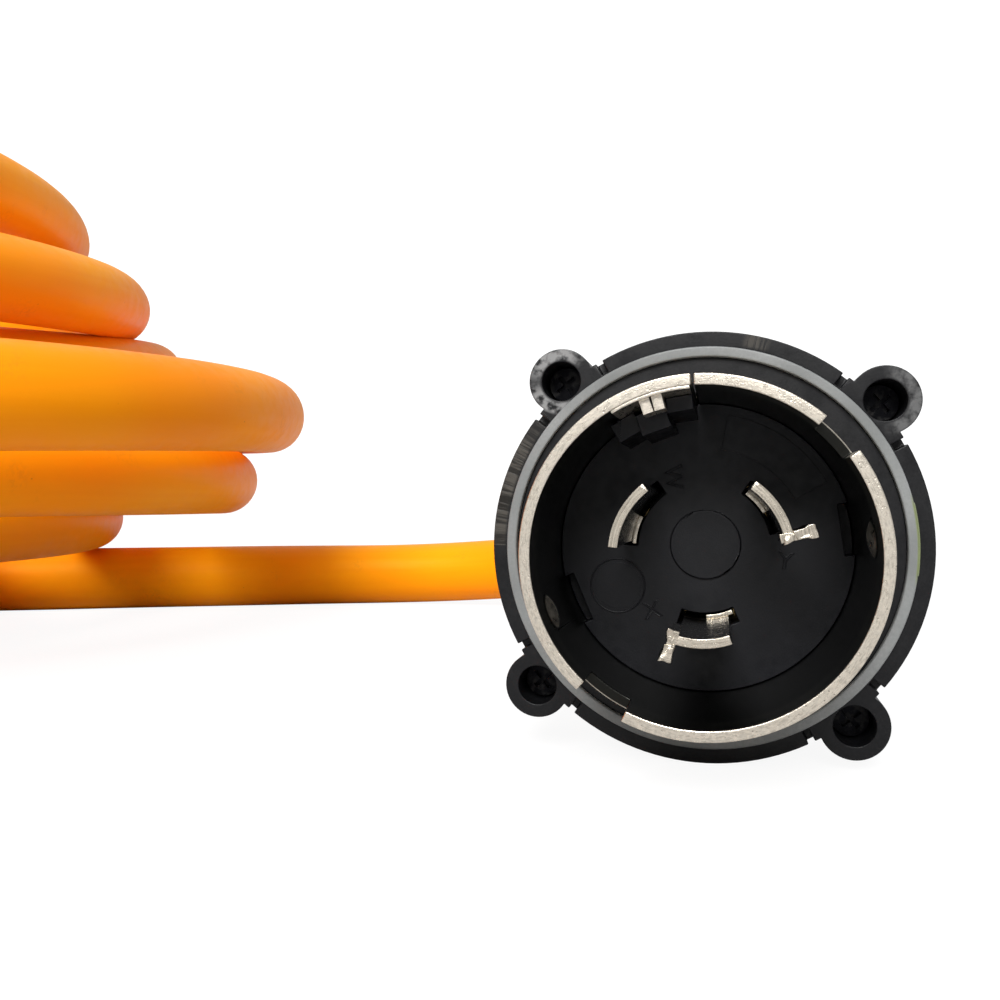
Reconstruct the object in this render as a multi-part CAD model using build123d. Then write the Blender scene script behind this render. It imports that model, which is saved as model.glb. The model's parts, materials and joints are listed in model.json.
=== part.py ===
from build123d import *
import math
import os

# A 25 ft, 50 A, 125/250 V shore power cord, in millimetres: a locking plug with a metal ground shell,
# a heavy round cord laid in a loose coil, and the matching female connector on top of the coil.
# The plug stands on its flange with its face towards -Y and its axis along Y. The origin is on the floor,
# below the middle of the plug. The plug and the connector are each modelled along their own Z, with the
# face towards +Z and Z = 0 at the plug's face or at the connector's mouth, and then turned into place.

# Driving dimensions
CORD_R = 13.5  # 6/3 + 8/1 jacket
SHELL_R = 28.75
SHELL_WALL = 1.85
SHELL_REACH = 31.0
FLANGE_R = 40.3
EAR_CIRCLE_R = 41.6
EAR_R = 6.26
EAR_HOLE_R = 3.74
EAR_ANGLES = (40.1, 130.3, 220.6, 309.9)
BLADE_R = 14.0
BLADE_THICK = 1.55
STRAIN_LENGTH = 28.0
FIT = 0.1  # assembly clearance between moulded pieces

# Plug levels, along its axis
FACE_DEPTH = 14.5
FLANGE_BACK = -6.0
BLOCK_FRONT = -15.0
BLOCK_BACK = -31.0
HOUSING_BACK = -58.0
NECK_BACK = -63.0
CLAMP_BACK = -74.0
STUB_FRONT = -53.0
PLUG_LENGTH = SHELL_REACH - CLAMP_BACK
FACE_Y = SHELL_REACH - PLUG_LENGTH / 2

# Blades: name, first angle, last angle, strap's first angle, strap's last angle, terminal angle, hook angle
BLADES = (
    ("w", 128.0, 175.0, 153.0, 177.0, 158.0, None),
    ("x", 254.5, 290.0, 272.0, 294.0, 274.0, 251.5),
    ("y", 15.5, 54.0, 31.0, 53.0, 34.0, 12.5),
)
GROUND_ANGLE = 96.0
TERMINAL_R = 17.5
TERMINAL_LENGTH = 13.0
SCREW_LEVEL = 7.0  # a terminal's screw, behind its front face
SHELL_INNER_R = SHELL_R - SHELL_WALL

# Locking connector levels, along its axis
CORE_R = 26.2
CORE_BACK = -32.0
MOUTH_TO_HOUSING = -24.5
CONN_NECK = -68.0
CONN_CLAMP_BACK = -79.0
CONN_STUB_FRONT = -62.0

# Coil: each turn's centre x and y, radius, height, and rise from the middle to the back.
TURNS = (
    (-376, -18, 130, 13.5, 0),
    (-394, 65, 157, 39.5, 3.5),
    (-346, 84, 161, 57.2, -2.2),
    (-312, 57, 161, 76.4, 7.1),
    (-380, 100, 152, 93.8, 20.6),
    (-371, 60, 154, 113.9, 20.5),
    (-407, 58, 159, 154.7, 5.8),
)
LAST_FREE = (-352, 157.8)  # the lead's last point before it runs on to the first turn
SLAB_TOPS = (27.3, 48.0, 67.0, 85.0, 104.0, 134.0, 168.5)
LAST_RISE_TOP = 150.0  # where the last turn is still climbing, under the connector

# The connector lies on the coil's left side, with its mouth towards -Y
CONN_X = -566.0
CONN_Z = 194.0
CONN_CORD_Y = 57.5


def ring(r_out, r_in, low, high):
    """A tube wall round Z from low to high."""
    blank = Pos(0, 0, low) * Cylinder(r_out, high - low, align=(Align.CENTER, Align.CENTER, Align.MIN))
    if r_in <= 0:
        return blank
    bore = Pos(0, 0, low) * Cylinder(r_in, high - low, align=(Align.CENTER, Align.CENTER, Align.MIN))
    return blank - bore


def sector(r_out, r_in, first, last, low, high):
    """Part of a tube wall, between two angles in degrees."""
    middle = Pos((r_out + r_in) / 2, (low + high) / 2)
    face = Plane.XZ * middle * Rectangle(r_out - r_in, high - low)
    return Rot(0, 0, first) * revolve(face, Axis.Z, last - first)


def turned(*outline):
    """A body of revolution about Z from (radius, height) points."""
    face = Plane.XZ * make_face(Polyline(*outline, close=True))
    return revolve(face, Axis.Z, 360)


def block(radius, angle, level, radial, tangential, height):
    """A box centred at a radius and angle, standing up from a level."""
    box = Box(radial, tangential, height, align=(Align.CENTER, Align.CENTER, Align.MIN))
    return Rot(0, 0, angle) * Pos(radius, 0, level) * box


def rod(r, length):
    """A cylinder standing up from Z = 0."""
    return Cylinder(r, length, align=(Align.CENTER, Align.CENTER, Align.MIN))


def screw(head_r, head_height, shank_r, length):
    """A screw with its head's top at Z = 0 and a cross recess, pointing down."""
    body = Pos(0, 0, -head_height) * rod(head_r, head_height)
    body += Pos(0, 0, -length) * rod(shank_r, length - head_height)
    for turn in (0, 90):
        body -= Rot(0, 0, turn) * Pos(0, 0, -head_height / 4) * Box(head_r * 1.3, head_r * 0.28, head_height / 2)
    return body


def at_angle(angle, radius, level, shape):
    """Places a shape at a radius and an angle, with its Z kept."""
    return Rot(0, 0, angle) * Pos(radius, 0, level) * shape


def pointing_in(angle, radius, level, shape):
    """Places a shape that points down so that it points at the axis, from a radius."""
    return Rot(0, 0, angle) * Pos(radius, 0, level) * Rot(0, 90, 0) * shape


# ---- plug front -----------------------------------------------------------------------------------------


def make_ground_shell():
    """Rolled cup with a rolled lip at its foot, a butt seam, two rim notches and two detent dimples."""
    lip_r = 33.0
    foot_r = SHELL_R - 0.75
    wall = ring(SHELL_R, SHELL_INNER_R, 0, SHELL_REACH) + ring(foot_r, SHELL_INNER_R, -FACE_DEPTH, 0)
    shell = wall + ring(lip_r, foot_r - 0.5, -8.0, FLANGE_BACK)
    shell -= sector(lip_r + 1, 20, 91.8, 92.8, -FACE_DEPTH - 1, SHELL_REACH + 1)
    for first, last in ((35, 49), (228, 245)):
        shell -= sector(SHELL_R + 1, 20, first, last, SHELL_REACH - 9, SHELL_REACH + 1)
    for angle in (6, 202):
        shell += dimple(angle)
    return shell


def dimple(angle):
    """A shallow lens on the inner wall, 6.5 mm long and 1.1 mm high."""
    ball_r = 6.0
    height = 1.1
    ball = Rot(0, 0, angle) * Pos(SHELL_INNER_R + ball_r - height, 0, SHELL_REACH - 8.5) * Sphere(ball_r)
    return ball & ring(SHELL_INNER_R + 0.5, 20, SHELL_REACH - 13, SHELL_REACH - 4)


def make_ground_clip():
    """Thin strip against the shell's inner wall, with two lugs at the top and a foot on the terminal."""
    out_r = SHELL_INNER_R
    clip = sector(out_r, out_r - 0.5, 93.2, 121, -FACE_DEPTH - 0.5, SHELL_REACH - 0.2)
    clip += sector(out_r, 13.5, 93.2, 100, -FACE_DEPTH - 0.5, -FACE_DEPTH)
    for angle in (104.8, 109.2):
        clip += block(out_r - 1.6, angle, 24.0, 2.6, 1.7, SHELL_REACH - 1.2 - 24.0)
    return clip


def make_face_insulator():
    """Moulded disc with a boss, three blade slots, two edge pockets and three key posts on the wall."""
    disc_r = SHELL_INNER_R - FIT
    body = ring(disc_r, 0, -FACE_DEPTH, 0)
    body += Pos(0.3, 0.6, 0) * rod(6.4, 0.6)
    posts = ((120.3, 24.6, 4.6, 3.4, 19.0), (109.2, 23.4, 5.2, 3.6, 22.0), (97.8, 25.0, 4.4, 2.4, 23.0))
    for angle, radius, width, depth, height in posts:
        body += block(radius, angle, 0, depth, width, height)
    body -= sector(SHELL_INNER_R + 1, SHELL_INNER_R - 0.5 - FIT, 92.5, 121.6, -FACE_DEPTH - 1, 30)
    for name, first, last, strap_first, strap_last, terminal, hook in BLADES:
        body -= sector(15.1, 12.2, min(first, strap_first) - 3.5, max(last, strap_last) + 1.5, -20, 1)
    for angle in (8, 203):
        body -= block(SHELL_INNER_R, angle, -4.0, 4.6, 9.5, 5.0)
    return body


def make_blade(first, last, hook):
    """Curved blade that reaches the terminal, with a radial hook at its clockwise end on two of the three."""
    r_out = BLADE_R + BLADE_THICK / 2
    r_in = BLADE_R - BLADE_THICK / 2
    top = 27.0
    blade = sector(r_out, r_in, first, last, BLOCK_FRONT, top)
    if hook is not None:
        head = block(14.9, hook + 0.6, 18.0, 4.6, 1.5, top - 18.0)
        blade += head + sector(r_out, r_in, hook, first + 1, 18.0, top)
    return blade


def make_strap(first, last):
    """Short leaf against the blade's inner face."""
    r_out = BLADE_R - BLADE_THICK / 2
    return sector(r_out, r_out - 0.8, first, last, BLOCK_FRONT, 0.9)


def make_gasket_ring():
    """Square-section grey ring in the flange's groove."""
    return ring(37.4, 35.5, -1.5, 1.2)


def make_front_flange():
    """Black ring with a gasket groove and four screw ears, slit beside each ear."""
    body = ring(FLANGE_R, SHELL_R + FIT, FLANGE_BACK, 0)
    body -= ring(37.4, 35.5, -1.5, 1)
    for angle in EAR_ANGLES:
        for side in (-11.2, 11.2):
            body -= block(FLANGE_R, angle + side, -3.4, 5.0, 1.3, 5.0)
        body += at_angle(angle, EAR_CIRCLE_R, -12.0, rod(EAR_R, 12.0))
        body += block(38.4, angle, FLANGE_BACK, 3.4, 8.5, -FLANGE_BACK)
    body -= ring(38.4, 0, -12.5, FLANGE_BACK)
    body -= ring(37.4, 35.5, -1.5, 1)
    for angle in EAR_ANGLES:
        body -= at_angle(angle, EAR_CIRCLE_R, -9.0, rod(EAR_HOLE_R, 10))
        body -= at_angle(angle, EAR_CIRCLE_R, -13.0, rod(1.9, 5))
    return body


def make_assembly_screws():
    """Four screws, head down in the ears."""
    one = screw(3.3, 2.6, 1.75, 15.0)
    return [at_angle(angle, EAR_CIRCLE_R, -6.4, one) for angle in EAR_ANGLES]


# ---- plug inside ----------------------------------------------------------------------------------------


def terminal_angles():
    return [blade[5] for blade in BLADES] + [GROUND_ANGLE]


def make_rear_insulator():
    """Block that holds the terminals, with a collar round the shell's foot."""
    body = ring(33.0, 0, BLOCK_BACK, BLOCK_FRONT) + ring(33.0, SHELL_R + FIT, BLOCK_FRONT, -8.0)
    for angle in terminal_angles():
        body -= block(TERMINAL_R, angle, BLOCK_BACK - 1, 9.0, 10.0, BLOCK_FRONT - BLOCK_BACK + 2)
        body -= pointing_in(angle, 34.0, BLOCK_FRONT - SCREW_LEVEL, Pos(0, 0, -14) * rod(3.5, 15))
    return body


def make_terminal():
    """Box terminal with a wire hole from the back and a screw hole from its outer side."""
    body = Pos(0, 0, -TERMINAL_LENGTH) * Box(9, 10, TERMINAL_LENGTH, align=(Align.CENTER, Align.CENTER, Align.MIN))
    body -= Pos(0, 0, -TERMINAL_LENGTH - 1) * rod(2.6, 11)
    body -= Pos(0, 0, -SCREW_LEVEL) * Rot(0, 90, 0) * rod(2.0, 6)
    return body


def make_terminal_screws():
    """Four screws that clamp the conductors from the side."""
    one = screw(3.2, 2.6, 1.95, 8.0)
    return [pointing_in(angle, 28.0, BLOCK_FRONT - SCREW_LEVEL, one) for angle in terminal_angles()]


def make_conductor(bundle_angle, angle, start, end, insulation_r):
    """Insulated conductor from the jacket's end out to a terminal, with its bare end in the hole."""
    copper_r = 2.35
    bundle_r = 5.3
    b = math.radians(bundle_angle)
    t = math.radians(angle)
    near = (bundle_r * math.cos(b), bundle_r * math.sin(b))
    far = (TERMINAL_R * math.cos(t), TERMINAL_R * math.sin(t))
    path = FilletPolyline((*near, start), (*near, start + 7), (*far, end - 7), (*far, end), radius=5.0)
    tube = sweep(Plane(origin=(*near, start), z_dir=(0, 0, 1)) * Circle(insulation_r), path=path)
    return tube + Pos(*far, end) * rod(copper_r, 9.5)


def make_rear_housing():
    """Hollow back half with four screw bosses and a neck for the cord."""
    body = turned(
        (33.1, -31.2), (33.1, FLANGE_BACK), (38.3, FLANGE_BACK), (38.3, -20), (34.5, -34), (24.0, -53),
        (20.0, HOUSING_BACK), (20.0, NECK_BACK), (16.0, NECK_BACK), (16.0, -55), (20.5, -51.5),
        (29.0, -36), (29.0, -31.2),
    )
    for angle in EAR_ANGLES:
        boss = at_angle(angle, EAR_CIRCLE_R, -24.0, rod(6.0, 12.0))
        boss += block(38.2, angle, -24.0, 6.0, 8.0, 12.0)
        body += boss - ring(36.0, 0, -25, -11)
        body -= at_angle(angle, EAR_CIRCLE_R, -22.5, rod(1.8, 12))
    return body


def make_clamp(sign, neck, back):
    """Half of the cord clamp: it grips the housing's neck and the jacket, with an ear on each side."""
    length = neck - back
    body = ring(25.0, 0, back, neck + 4) + Pos(0, 0, back) * rounded_bar(31.0, 9.5, length)
    body -= ring(20.0 + FIT, 0, neck, neck + 5) + ring(CORD_R + 0.05, 0, back - 1, neck + 1)
    half = Pos(0, sign * 20.6, (neck + back) / 2) * Box(80, 40, 60)
    body = body & half
    for side in (-1, 1):
        body -= Pos(side * 27.4, 0, (neck + back) / 2) * Rot(90, 0, 0) * Cylinder(1.7, 80)
    return body


def rounded_bar(half_width, half_depth, length):
    bar = RectangleRounded(2 * half_width, 2 * half_depth, 3.0)
    return extrude(bar, length)


def make_clamp_screws(neck, back):
    """Two screws through the clamp's ears, from the top."""
    one = screw(2.9, 2.2, 1.6, 20.0)
    level = (neck + back) / 2
    return [Pos(side * 27.4, 9.5 + 2.2, level) * Rot(-90, 0, 0) * one for side in (-1, 1)]


def make_grommet(neck):
    """Rubber sleeve between the jacket and the housing's neck."""
    return ring(15.9, CORD_R + 0.05, neck, neck + 8.0)


def make_strain_relief(back):
    """Tapered boot with five grooves."""
    steps = 5
    pitch = STRAIN_LENGTH / (steps + 0.5)
    outline = [(CORD_R + 0.05, back), (21.0, back)]
    for i in range(steps):
        level = back - pitch * (i + 0.7)
        radius = 21.0 - 5.6 * (i + 1) / steps
        outline += [(radius, level), (radius - 1.2, level - 0.4), (radius - 1.2, level - 1.6), (radius, level - 2.0)]
    outline += [(15.0, back - STRAIN_LENGTH), (CORD_R + 0.05, back - STRAIN_LENGTH)]
    return turned(*outline)


# ---- female connector -----------------------------------------------------------------------------------


def make_connector_core():
    """Round plug of insulation that goes inside the other half's shell, with three curved slots."""
    body = ring(CORE_R, 0, CORE_BACK, -1.0)
    for name, first, last, strap_first, strap_last, terminal, hook in BLADES:
        body -= sector(15.6, 12.4, 180 - last - 9, 180 - first + 4, CORE_BACK - 1, 0)
    return body


def make_connector_base():
    """Disc behind the core with a pocket for each terminal and a hole to its screw."""
    body = ring(CORE_R, 0, CORE_BACK - TERMINAL_LENGTH, CORE_BACK)
    for angle in connector_terminal_angles():
        body -= block(TERMINAL_R, angle, CORE_BACK - TERMINAL_LENGTH - 1, 9.0, 10.0, TERMINAL_LENGTH + 2)
        body -= pointing_in(angle, CORE_R + 1, CORE_BACK - SCREW_LEVEL, Pos(0, 0, -8) * rod(3.2, 8))
    return body


def make_connector_terminal_screws():
    """Four screws that clamp the connector's conductors from the side."""
    one = screw(2.9, 2.0, 1.95, 6.0)
    level = CORE_BACK - SCREW_LEVEL
    return [pointing_in(angle, CORE_R - 0.2, level, one) for angle in connector_terminal_angles()]


def make_connector_contacts():
    """Three curved spring contacts at the foot of the slots, each standing on its terminal."""
    contacts = []
    for name, first, last, strap_first, strap_last, terminal, hook in BLADES:
        contacts.append(sector(13.4, 12.5, 180 - last, 180 - first, CORE_BACK, -8.0))
    return contacts


def connector_terminal_angles():
    return [180 - angle for angle in terminal_angles()]


def make_connector_sleeve():
    """Outer sleeve round the slot for the shell, with a floor and the flange that holds the locking ring."""
    body = ring(33.0, 29.6, -42.0, 0) + ring(29.6, CORE_R, -42.0, -35.0)
    body += ring(35.0, 32.5, -14.0, -10.0)
    for angle in EAR_ANGLES:
        body -= pointing_in(angle, 34.0, -33.0, Pos(0, 0, -4) * rod(1.7, 5))
    return body


def make_connector_ground_ring():
    """Sprung ground contact on the sleeve's inner wall, open at the seam."""
    return sector(29.6, 29.0, 100, 446, CORE_BACK, -9.0)


def make_connector_seal():
    """Rubber ring in front of the sleeve's flange."""
    return ring(34.8, 33.0, -10.0, -7.0)


def make_locking_ring():
    """Threaded ring with grip ribs, captive behind the sleeve's flange."""
    body = ring(38.4, 35.3, -14.3, 8.0) + ring(38.4, 33.3, -24.0, -14.3)
    ribs = 24
    for i in range(ribs):
        body += block(38.3, i * 360 / ribs, -22.5, 2.4, 3.6, 27.0)
    for level in (-2.0, 1.5, 5.0):
        body -= turned((35.2, level - 0.9), (36.1, level), (35.2, level + 0.9))
    return body


def make_connector_housing():
    """Hollow back half, screwed on to the sleeve from the side."""
    body = turned(
        (33.1, -42.2), (33.1, MOUTH_TO_HOUSING), (38.0, MOUTH_TO_HOUSING), (38.0, -44), (25.0, -58),
        (20.0, -62), (20.0, CONN_NECK), (16.0, CONN_NECK), (16.0, -59), (20.5, -55), (29.0, -46), (29.0, -42.2),
    )
    for angle in EAR_ANGLES:
        body -= pointing_in(angle, 38.5, -33.0, Pos(0, 0, -3.2) * rod(3.2, 4))
        body -= pointing_in(angle, 38.5, -33.0, Pos(0, 0, -9) * rod(1.8, 9))
    return body


def make_connector_screws():
    """Four side screws between the housing and the sleeve."""
    one = screw(3.0, 2.2, 1.65, 7.0)
    return [pointing_in(angle, 37.6, -33.0, one) for angle in EAR_ANGLES]


# ---- cord -----------------------------------------------------------------------------------------------


def lead_meets_coil():
    """The angle round the first turn, in degrees, at which a line from the last free point touches it."""
    x, y, radius, height, rise = TURNS[0]
    dx = LAST_FREE[0] - x
    dy = LAST_FREE[1] - y
    return math.degrees(math.atan2(dy, dx) + math.acos(radius / math.hypot(dx, dy)))


def lead_points():
    """Route from the strain relief to the coil: straight out, down to the floor and round to the left."""
    exit_y = PLUG_LENGTH / 2 + STRAIN_LENGTH
    x, y, radius, height, rise = TURNS[0]
    meets = math.radians(lead_meets_coil())
    return [
        (0, exit_y, AXIS_Z),
        (0, exit_y + 56, AXIS_Z),
        (-30, 215, 29),
        (-99, 263, 16),
        (-183, 264.6, CORD_R),
        (-266, 208.5, CORD_R),
        (*LAST_FREE, CORD_R),
        (x + radius * math.cos(meets), y + radius * math.sin(meets), CORD_R),
    ]


def tail_points():
    """Route from the back of the top turn up to the connector, round to the front."""
    x, y, radius, height, rise = TURNS[-1]
    return [
        (x, y + radius, height),
        (x - 53, y + radius, height),
        (-509, 197, 165),
        (-546.5, 159.5, 180),
        (CONN_X, 110.5, CONN_Z),
        (CONN_X, CONN_CORD_Y, CONN_Z),
    ]


def bend_radii(points):
    """The arc radius at each corner: 0.45 of the shorter run over the tangent of half the turn."""
    radii = []
    for before, here, after in zip(points, points[1:], points[2:]):
        run_in = Vector(here) - Vector(before)
        run_out = Vector(after) - Vector(here)
        turn = run_in.get_angle(run_out)
        radius = 0.45 * min(run_in.length, run_out.length) / math.tan(math.radians(turn / 2))
        print(f"cord corner: turn {turn:.0f} deg, runs {run_in.length:.0f} and {run_out.length:.0f},"
              f" radius {radius:.0f} = {radius / (2 * CORD_R):.1f} diameters")
        radii.append(radius)
    return radii


def make_tube(points):
    """Cord along a route, as straight runs joined by tangent arcs."""
    path = FilletPolyline(*points, radius=bend_radii(points))
    start = Plane(origin=points[0], z_dir=Vector(points[1]) - Vector(points[0]))
    tube = sweep(start * Circle(CORD_R), path=path)
    ideal = math.pi * CORD_R**2 * path.length
    print(f"cord tube: {path.length:.0f} mm, its volume over section x length {tube.volume / ideal:.3f}")
    return tube


def slab(turn, first, last, low, high):
    """One turn of the coil as part of a flat ring, as wide as the cord."""
    x, y, radius, height, rise = turn
    return Pos(x, y, 0) * sector(radius + CORD_R, radius - CORD_R, first, last, low, high)


def make_cord_coil():
    """The coil's outer shape: a stack of rings, one for each turn, which starts and ends on a flat face."""
    body = slab(TURNS[0], lead_meets_coil(), lead_meets_coil() + 320, 0, SLAB_TOPS[0])
    for turn, low, high in zip(TURNS[1:-1], SLAB_TOPS, SLAB_TOPS[1:]):
        body += slab(turn, 0, 360, low, high)
    body += slab(TURNS[-1], -105, 90, SLAB_TOPS[-2], SLAB_TOPS[-1])
    body += slab(TURNS[-1], 180, 255, SLAB_TOPS[-2], LAST_RISE_TOP)
    return body


# ---- placing and writing --------------------------------------------------------------------------------

AXIS_Z = FLANGE_R
CONN_MOUTH_Y = CONN_CORD_Y - STRAIN_LENGTH + CONN_CLAMP_BACK


def place_plug(shape):
    return Pos(0, FACE_Y, AXIS_Z) * Rot(90, 0, 0) * shape


def place_connector(shape):
    return Pos(CONN_X, CONN_MOUTH_Y, CONN_Z) * Rot(90, 0, 0) * shape


def write(node, shapes, place=None):
    """Writes one sub-part, which is one solid or a group of separate solids."""
    group = shapes if isinstance(shapes, list) else [shapes]
    solids = []
    for shape in group:
        moved = place(shape) if place else shape
        solids += moved.solids()
    result = solids[0] if len(solids) == 1 else Compound(children=solids)
    export_step(result, f"parts/{node}.step")


def write_plug():
    for name, first, last, strap_first, strap_last, terminal, hook in BLADES:
        write(f"blade_{name}", make_blade(first, last, hook), place_plug)
        write(f"strap_{name}", make_strap(strap_first, strap_last), place_plug)
        write(f"terminal_{name}", at_angle(terminal, TERMINAL_R, BLOCK_FRONT, make_terminal()), place_plug)
    write("terminal_ground", at_angle(GROUND_ANGLE, TERMINAL_R, BLOCK_FRONT, make_terminal()), place_plug)
    write("ground_shell", make_ground_shell(), place_plug)
    write("ground_clip", make_ground_clip(), place_plug)
    write("face_insulator", make_face_insulator(), place_plug)
    write("gasket_ring", make_gasket_ring(), place_plug)
    write("front_flange", make_front_flange(), place_plug)
    write("assembly_screws", make_assembly_screws(), place_plug)
    write("rear_insulator", make_rear_insulator(), place_plug)
    write("terminal_screws", make_terminal_screws(), place_plug)
    write("rear_housing", make_rear_housing(), place_plug)
    write("clamp_upper", make_clamp(1, NECK_BACK, CLAMP_BACK), place_plug)
    write("clamp_lower", make_clamp(-1, NECK_BACK, CLAMP_BACK), place_plug)
    write("clamp_screws", make_clamp_screws(NECK_BACK, CLAMP_BACK), place_plug)
    write("cord_grommet", make_grommet(NECK_BACK), place_plug)
    write("strain_relief", make_strain_relief(CLAMP_BACK), place_plug)
    write("cord_stub", ring(CORD_R, 0, CLAMP_BACK - STRAIN_LENGTH, STUB_FRONT), place_plug)
    wires = (("black", 0, "y", 3.5), ("red", 270, "x", 3.5), ("white", 180, "w", 3.5))
    angles = {blade[0]: blade[5] for blade in BLADES}
    for colour, bundle, pole, radius in wires:
        wire = make_conductor(bundle, angles[pole], STUB_FRONT, BLOCK_FRONT - TERMINAL_LENGTH, radius)
        write(f"conductor_{colour}", wire, place_plug)
    green = make_conductor(90, GROUND_ANGLE, STUB_FRONT, BLOCK_FRONT - TERMINAL_LENGTH, 2.9)
    write("conductor_green", green, place_plug)


def write_connector():
    angles = connector_terminal_angles()
    write("connector_core", make_connector_core(), place_connector)
    write("connector_base", make_connector_base(), place_connector)
    write("connector_terminal_screws", make_connector_terminal_screws(), place_connector)
    write("connector_sleeve", make_connector_sleeve(), place_connector)
    write("connector_ground_ring", make_connector_ground_ring(), place_connector)
    write("connector_contacts", make_connector_contacts(), place_connector)
    terminals = [at_angle(angle, TERMINAL_R, CORE_BACK, make_terminal()) for angle in angles]
    write("connector_terminals", terminals, place_connector)
    write("connector_seal", make_connector_seal(), place_connector)
    write("locking_ring", make_locking_ring(), place_connector)
    write("connector_housing", make_connector_housing(), place_connector)
    write("connector_screws", make_connector_screws(), place_connector)
    write("connector_clamp_upper", make_clamp(1, CONN_NECK, CONN_CLAMP_BACK), place_connector)
    write("connector_clamp_lower", make_clamp(-1, CONN_NECK, CONN_CLAMP_BACK), place_connector)
    write("connector_clamp_screws", make_clamp_screws(CONN_NECK, CONN_CLAMP_BACK), place_connector)
    write("connector_grommet", make_grommet(CONN_NECK), place_connector)
    write("connector_strain_relief", make_strain_relief(CONN_CLAMP_BACK), place_connector)
    write("connector_stub", ring(CORD_R, 0, CONN_CLAMP_BACK - STRAIN_LENGTH, CONN_STUB_FRONT), place_connector)
    bundles = (180, 270, 0, 90)
    wires = [
        make_conductor(bundle, angle, CONN_STUB_FRONT, CORE_BACK - TERMINAL_LENGTH, 2.9)
        for bundle, angle in zip(bundles, angles)
    ]
    write("connector_conductors", wires, place_connector)


os.makedirs("parts", exist_ok=True)
write_plug()
write_connector()
write("cord_lead", make_tube(lead_points()))
write("cord_coil", make_cord_coil())
write("cord_tail", make_tube(tail_points()))
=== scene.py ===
import json
import math

import bmesh
import bpy
import numpy as np
from mathutils import Matrix, Vector, noise


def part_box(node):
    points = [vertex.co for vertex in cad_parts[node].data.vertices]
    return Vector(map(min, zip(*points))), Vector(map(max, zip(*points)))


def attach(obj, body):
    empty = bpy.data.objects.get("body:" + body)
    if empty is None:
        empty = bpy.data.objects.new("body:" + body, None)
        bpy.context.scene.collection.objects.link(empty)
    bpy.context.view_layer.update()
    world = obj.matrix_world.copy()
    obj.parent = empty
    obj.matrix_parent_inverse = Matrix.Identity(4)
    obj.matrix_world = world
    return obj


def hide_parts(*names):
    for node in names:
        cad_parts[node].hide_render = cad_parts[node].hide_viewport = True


# A shore power cord: a locking plug seen from the front, its orange cord in a loose coil behind it, and the
# matching connector at the cord's far end. Places are in metres, in the frame of the CAD model: +Z up, the
# plug's face towards -Y. Names and comments say so where a value is in millimetres.

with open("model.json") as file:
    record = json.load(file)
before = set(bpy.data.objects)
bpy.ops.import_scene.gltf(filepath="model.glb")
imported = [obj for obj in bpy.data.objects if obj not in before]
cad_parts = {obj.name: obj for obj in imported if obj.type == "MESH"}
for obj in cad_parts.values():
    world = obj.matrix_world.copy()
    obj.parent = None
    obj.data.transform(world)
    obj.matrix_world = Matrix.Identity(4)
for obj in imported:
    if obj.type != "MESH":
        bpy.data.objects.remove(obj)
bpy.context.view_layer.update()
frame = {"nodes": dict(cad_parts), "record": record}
nodes = frame["nodes"]

MM = 0.001
JACKET_R = 0.0135

# ---- camera ---------------------------------------------------------------------------------------------

RIM_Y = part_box("ground_shell")[0].y
CAMERA_X = 0.0039
CAMERA_TO_RIM = 0.152
CAMERA_HEIGHT = 0.0498
CAMERA_YAW = math.radians(13.2)
CAMERA_PITCH = math.radians(-0.2)
LENS = 34.56

camera_data = bpy.data.cameras.new("camera")
camera_data.lens = LENS
camera_data.sensor_width = 36
camera_data.clip_start = 0.01
camera = bpy.data.objects.new("camera", camera_data)
camera.location = (CAMERA_X, RIM_Y - CAMERA_TO_RIM, CAMERA_HEIGHT)
camera.rotation_euler = (math.radians(90) + CAMERA_PITCH, 0, CAMERA_YAW)
bpy.context.scene.collection.objects.link(camera)
bpy.context.scene.camera = camera

# ---- cord route -----------------------------------------------------------------------------------------

CORD_EXIT = (0, 0.0805, 0.0403)
# The spline's control points from the plug to the coil, and from the coil to the connector.
LEAD_ROUTE = (
    CORD_EXIT,
    (0, 0.1477, 0.0403),
    (-0.048, 0.2109, 0.022),
    (-0.1244, 0.2324, 0.0135),
    (-0.200, 0.2026, 0.0135),
    (-0.275, 0.1675, 0.0135),
    (-0.350, 0.134, 0.0135),
)
TAIL_ROUTE = (
    (-0.460, 0.217, 0.158),
    (-0.509, 0.197, 0.166),
    (-0.5465, 0.1595, 0.180),
    (-0.566, 0.1105, 0.194),
    (-0.566, 0.0575, 0.194),
)

# The coil. Each turn runs from one row to the next: centre x, centre y, radius, height, rise to the back.
TURNS = (
    (-0.374, -0.022, 0.128, 0.0135, 0),
    (-0.380, -0.014, 0.146, 0.0135, 0),
    (-0.392, 0.069, 0.157, 0.0390, 0.0036),
    (-0.343, 0.088, 0.160, 0.0571, -0.0022),
    (-0.310, 0.060, 0.161, 0.0768, 0.0073),
    (-0.384, 0.104, 0.156, 0.0950, 0.0203),
    (-0.366, 0.060, 0.151, 0.1136, 0.0202),
    (-0.402, 0.057, 0.1585, 0.1540, 0.0062),
)
POINTS_A_TURN = 20
COIL_START = 115.2  # degrees, where the lead runs on to the first turn
TURN_STARTS = 90.0  # degrees, the back of the coil, where one turn becomes the next
CHANGE_OVER = 275.0  # degrees that the change takes, round the left and the front
SETTLE_STEPS = 300
SAMPLES_A_POINT = 4
CLEARANCE = 0.0272  # between the middles of two turns, a little over the jacket's diameter
OWN_STRETCH = 0.15  # how far apart along the cord two places are before they count as two turns
SMOOTHING = 0.5  # share of a step that evens out the lifts of neighbouring points
KEEP_SEEN = 0.94  # share of a lift that stays after each step, where the cord is in view
KEEP_UNSEEN = 0.999


def smooth(x):
    return x * x * (3 - 2 * x)


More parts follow.
